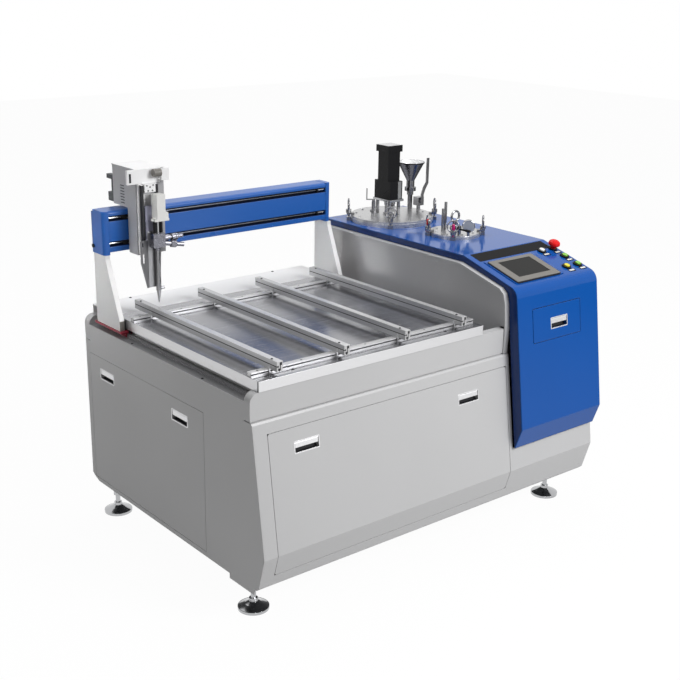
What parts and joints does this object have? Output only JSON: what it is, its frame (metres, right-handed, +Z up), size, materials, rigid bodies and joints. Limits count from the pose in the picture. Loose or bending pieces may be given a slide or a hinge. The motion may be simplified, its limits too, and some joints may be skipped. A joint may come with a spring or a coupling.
{
  "type": "glue dispensing machine",
  "caption": "Free-standing two-part glue dispensing machine: gantry with mixing head over a slotted work table, beside a blue tank cabinet with touch screen, lids and stirrer.",
  "frame": {"origin": "centre of the bounding box on the floor", "axes": "+X to the operator's right, +Y to the back, +Z up"},
  "size_m": [1.39, 1.023, 1.1862],
  "materials": {
    "grey_paint": "smooth satin powder coat",
    "white_paint": "smooth satin powder coat",
    "dark_panel": "glossy dark grey paint",
    "blue_paint": "glossy blue paint",
    "frame_paint": "matt dark paint",
    "red_paint": "satin red paint",
    "black_paint": "satin black",
    "stainless": "brushed stainless",
    "chrome": "polished",
    "aluminium": "anodised",
    "black_plastic": "fine texture",
    "ivory_plastic": "moulded",
    "white_plastic": "moulded",
    "yellow_plastic": "moulded",
    "green_plastic": "moulded",
    "red_plastic": "moulded",
    "screen": "glossy dark screen"
  },
  "bodies": {
    "base": {"base_frame": "frame_paint", "levelling_feet": "chrome", "front_shell": "grey_paint", "left_shell": "grey_paint", "top_walls": "grey_paint", "rear_right_panels": "grey_paint", "channel_floor": "grey_paint", "guide_rails": "chrome", "table_plate": "stainless", "rear_plate": "white_paint", "cross_rails": "aluminium", "inner_panel": "dark_panel", "cabinet_rim": "grey_paint", "blue_cover": "blue_paint", "cover_flanges": "blue_paint", "screen_frame": "black_plastic", "screen_glass": "screen", "switch_bezels": "black_plastic", "tanks": "stainless", "tank_lids": "stainless", "stirrer_motor": "black_paint", "funnel": "stainless", "lid_fittings": "chrome", "lifting_eye": "chrome"},
    "gantry": {"gantry_legs": "white_paint", "foot_plates": "red_paint", "beam": "blue_paint", "end_caps": "blue_paint", "guide_rods": "chrome"},
    "carriage": {"housing": "grey_paint", "cable_bracket": "frame_paint", "z_frame": "white_paint", "z_motor": "white_paint"},
    "head": {"z_slider": "aluminium", "actuator": "ivory_plastic", "valve_block": "chrome", "guard": "stainless", "nozzle": "stainless"},
    "z_coupling": {"z_coupling": "frame_paint"},
    "t_rail_1": {"t_rail_1": "aluminium"},
    "t_rail_2": {"t_rail_2": "aluminium"},
    "t_rail_3": {"t_rail_3": "aluminium"},
    "t_rail_4": {"t_rail_4": "aluminium"},
    "white_button": {"white_button": "white_plastic"},
    "yellow_button": {"yellow_button": "yellow_plastic"},
    "green_button_1": {"green_button_1": "green_plastic"},
    "green_button_2": {"green_button_2": "green_plastic"},
    "stop_button": {"stop_button": "red_plastic"},
    "front_panel": {"front_panel": "grey_paint"},
    "side_panel": {"side_panel": "grey_paint"},
    "hatch": {"hatch": "blue_paint"},
    "front_paddle_1": {"front_paddle_1": "chrome"},
    "front_paddle_2": {"front_paddle_2": "chrome"},
    "side_paddle_1": {"side_paddle_1": "chrome"},
    "side_paddle_2": {"side_paddle_2": "chrome"},
    "hatch_paddle": {"hatch_paddle": "chrome"},
    "stirrer": {"stirrer": "stainless"},
    "valve_lever": {"valve_lever": "stainless"},
    "drain_lever": {"drain_lever": "stainless"},
    "vent_lever": {"vent_lever": "black_plastic"}
  },
  "joints": [
    {"name": "gantry_travel", "type": "slide", "parent": "base", "child": "gantry", "axis": [0, -1, 0], "range_m": [-0.012, 0.64]},
    {"name": "carriage_travel", "type": "slide", "parent": "gantry", "child": "carriage", "axis": [1, 0, 0], "range_m": [-0.01, 0.66]},
    {"name": "head_lift", "type": "slide", "parent": "carriage", "child": "head", "axis": [0, 0, 1], "range_m": [-0.001, 0.04]},
    {"name": "coupling_turn", "type": "hinge", "parent": "carriage", "child": "z_coupling", "pos_m": [-0.542, 0.2825, 1.174], "axis": [1, 0, 0], "range_deg": [-20, 725]},
    {"name": "rail_1_slide", "type": "slide", "parent": "base", "child": "t_rail_1", "axis": [1, 0, 0], "range_m": [-0.055, 0.1]},
    {"name": "rail_2_slide", "type": "slide", "parent": "base", "child": "t_rail_2", "axis": [1, 0, 0], "range_m": [-0.1, 0.1]},
    {"name": "rail_3_slide", "type": "slide", "parent": "base", "child": "t_rail_3", "axis": [1, 0, 0], "range_m": [-0.1, 0.1]},
    {"name": "rail_4_slide", "type": "slide", "parent": "base", "child": "t_rail_4", "axis": [1, 0, 0], "range_m": [-0.1, 0.055]},
    {"name": "white_button_press", "type": "slide", "parent": "base", "child": "white_button", "axis": [0, 0.2699, -0.9629], "range_m": [0, 0.004], "stiffness_N_per_m": 300, "springref_m": -0.002},
    {"name": "green_button_1_press", "type": "slide", "parent": "base", "child": "green_button_1", "axis": [0, 0.2699, -0.9629], "range_m": [0, 0.004], "stiffness_N_per_m": 300, "springref_m": -0.002},
    {"name": "yellow_button_press", "type": "slide", "parent": "base", "child": "yellow_button", "axis": [0, 0.2699, -0.9629], "range_m": [0, 0.004], "stiffness_N_per_m": 300, "springref_m": -0.002},
    {"name": "green_button_2_press", "type": "slide", "parent": "base", "child": "green_button_2", "axis": [0, 0.2699, -0.9629], "range_m": [0, 0.004], "stiffness_N_per_m": 300, "springref_m": -0.002},
    {"name": "stop_button_press", "type": "slide", "parent": "base", "child": "stop_button", "axis": [0, 0.2699, -0.9629], "range_m": [0, 0.006], "stiffness_N_per_m": 600, "springref_m": -0.003},
    {"name": "front_panel_off", "type": "slide", "parent": "base", "child": "front_panel", "axis": [0, -1, 0], "range_m": [0, 0.25]},
    {"name": "side_panel_off", "type": "slide", "parent": "base", "child": "side_panel", "axis": [-1, 0, 0], "range_m": [0, 0.25]},
    {"name": "hatch_off", "type": "slide", "parent": "base", "child": "hatch", "axis": [0, -1, 0], "range_m": [0, 0.15]},
    {"name": "front_paddle_1_pull", "type": "hinge", "parent": "front_panel", "child": "front_paddle_1", "pos_m": [-0.517, -0.44059, 0.52473], "axis": [-1, 0, 0], "range_deg": [0, 40], "stiffness_Nm_per_rad": 0.06, "springref_deg": -8.59},
    {"name": "front_paddle_2_pull", "type": "hinge", "parent": "front_panel", "child": "front_paddle_2", "pos_m": [0.119, -0.44129, 0.51973], "axis": [-1, 0, 0], "range_deg": [0, 40], "stiffness_Nm_per_rad": 0.06, "springref_deg": -8.59},
    {"name": "side_paddle_1_pull", "type": "hinge", "parent": "side_panel", "child": "side_paddle_1", "pos_m": [-0.6918, 0.3765, 0.5273], "axis": [0, 1, 0], "range_deg": [0, 40], "stiffness_Nm_per_rad": 0.06, "springref_deg": -8.59},
    {"name": "side_paddle_2_pull", "type": "hinge", "parent": "side_panel", "child": "side_paddle_2", "pos_m": [-0.6918, -0.0615, 0.5253], "axis": [0, 1, 0], "range_deg": [0, 40], "stiffness_Nm_per_rad": 0.06, "springref_deg": -8.59},
    {"name": "hatch_paddle_pull", "type": "hinge", "parent": "hatch", "child": "hatch_paddle", "pos_m": [0.49, -0.4642, 0.7043], "axis": [-1, 0, 0], "range_deg": [0, 40], "stiffness_Nm_per_rad": 0.06, "springref_deg": -8.59},
    {"name": "stirrer_turn", "type": "hinge", "parent": "base", "child": "stirrer", "pos_m": [0.477, 0.3575, 0.9], "axis": [0, 0, 1], "continuous": true},
    {"name": "valve_lever_turn", "type": "hinge", "parent": "base", "child": "valve_lever", "pos_m": [0.613, 0.3195, 0.948], "axis": [0, 1, 0], "range_deg": [0, 90]},
    {"name": "drain_lever_turn", "type": "hinge", "parent": "base", "child": "drain_lever", "pos_m": [0.402, 0.3525, 0.968], "axis": [0, 0, 1], "range_deg": [0, 90]},
    {"name": "vent_lever_turn", "type": "hinge", "parent": "base", "child": "vent_lever", "pos_m": [0.452, -0.0315, 0.928], "axis": [-1, 0, 0], "range_deg": [0, 90]}
  ],
  "couplings": [
    {"joint": "coupling_turn", "follows": "head_lift", "rad_per_m": 314.16}
  ]
}
